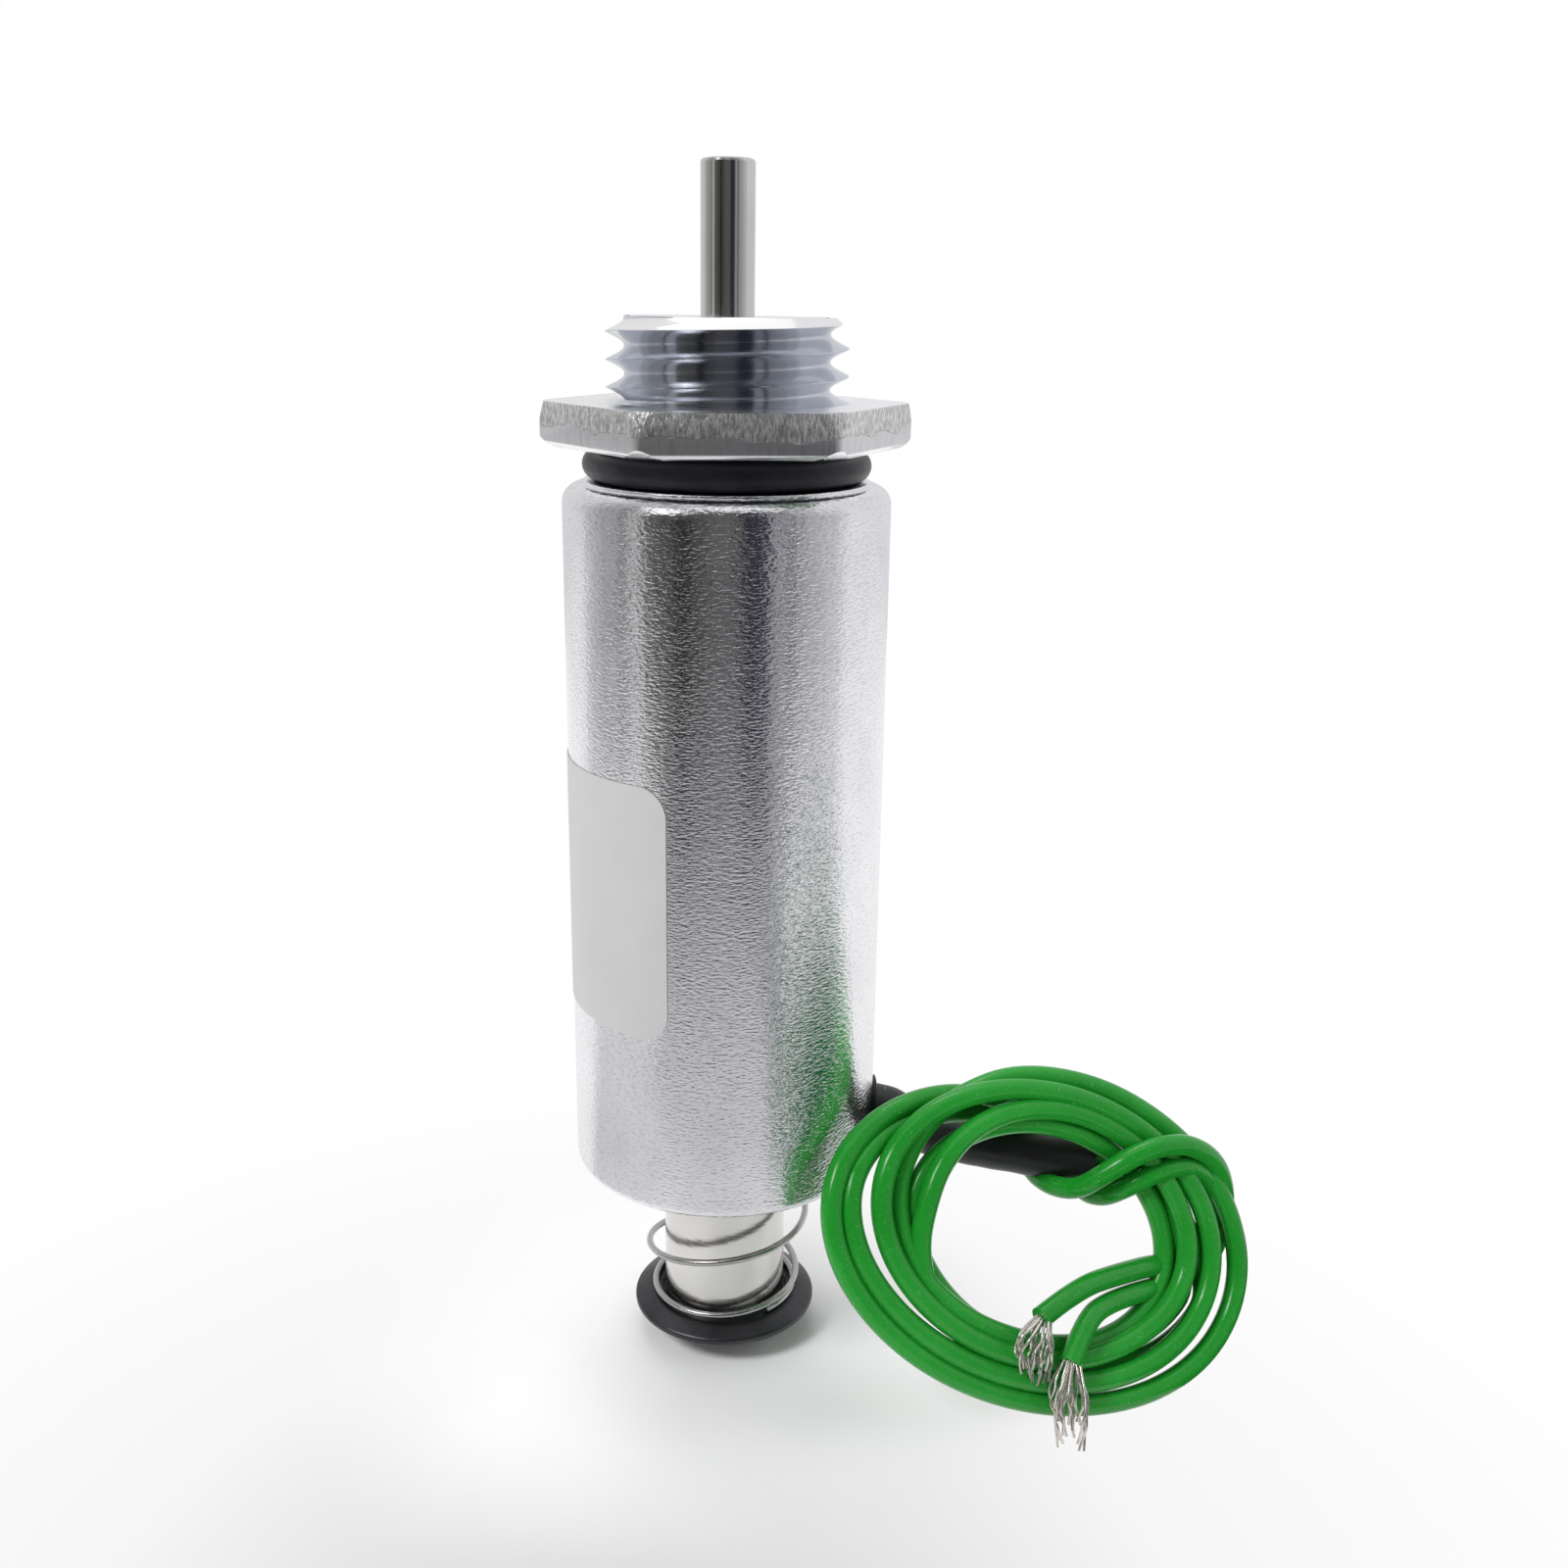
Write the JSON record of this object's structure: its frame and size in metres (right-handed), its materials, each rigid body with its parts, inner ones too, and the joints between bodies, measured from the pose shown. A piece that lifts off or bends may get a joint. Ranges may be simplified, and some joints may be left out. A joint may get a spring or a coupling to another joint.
{
  "type": "push pull solenoid",
  "caption": "Tubular linear solenoid with a threaded mounting neck and hex nut, a push pin on top, a spring loaded plunger below and a pair of flying leads.",
  "frame": {"origin": "centre of the plunger's foot, on the surface that the solenoid stands on", "axes": "+Z along plunger and push pin towards the pin's tip; +X towards the hole where the leads leave the can"},
  "size_m": [0.0582, 0.0315, 0.0961],
  "materials": {
    "bright_zinc": "bright zinc plate on drawn and turned steel",
    "zinc_thread": "bluish bright zinc plate on cut thread",
    "zinc_blank": "zinc plate over a sheared edge",
    "brass_tube": "drawn brass",
    "bobbin_nylon": "moulded natural nylon",
    "enamelled_copper": "enamelled copper wire, close wound",
    "yellow_tape": "polyester tape",
    "fibre_washer": "vulcanised fibre",
    "black_rubber": "moulded rubber, semi matt",
    "nickel_plunger": "satin nickel plate on turned steel",
    "ground_pin": "ground and polished stainless steel",
    "black_disc": "black oxide with a thin coat of lacquer",
    "spring_steel": "drawn spring steel wire",
    "black_sleeve": "heat shrink sleeve",
    "green_lead": "PVC insulation",
    "tinned_copper": "tinned copper strands"
  },
  "bodies": {
    "housing": {"housing_can": "bright_zinc", "end_plate": "bright_zinc", "guide_tube": "brass_tube", "bobbin": "bobbin_nylon", "coil_winding": "enamelled_copper", "winding_tape": "yellow_tape", "insulating_washer": "fibre_washer", "threaded_bush": "zinc_thread", "pole_shim": "brass_tube", "hex_nut": "zinc_blank", "o_ring": "black_rubber", "lead_grommet": "black_rubber", "lead_sleeve": "black_sleeve", "lead_run_a": "green_lead", "lead_run_b": "green_lead", "solder_joints": "tinned_copper", "lead_coil": "green_lead", "lead_tail_a": "green_lead", "lead_tail_b": "green_lead", "strands_a": "tinned_copper", "strands_b": "tinned_copper"},
    "plunger": {"plunger": "nickel_plunger", "push_pin": "ground_pin", "spring_disc": "black_disc", "retaining_clip": "spring_steel", "return_spring": "spring_steel"}
  },
  "joints": [
    {"name": "plunger_slide", "type": "slide", "parent": "housing", "child": "plunger", "axis": [0, 0, 1], "range_m": [0, 0.01], "stiffness_N_per_m": 300, "springref_m": -0.01, "deforming": ["return_spring"]}
  ]
}
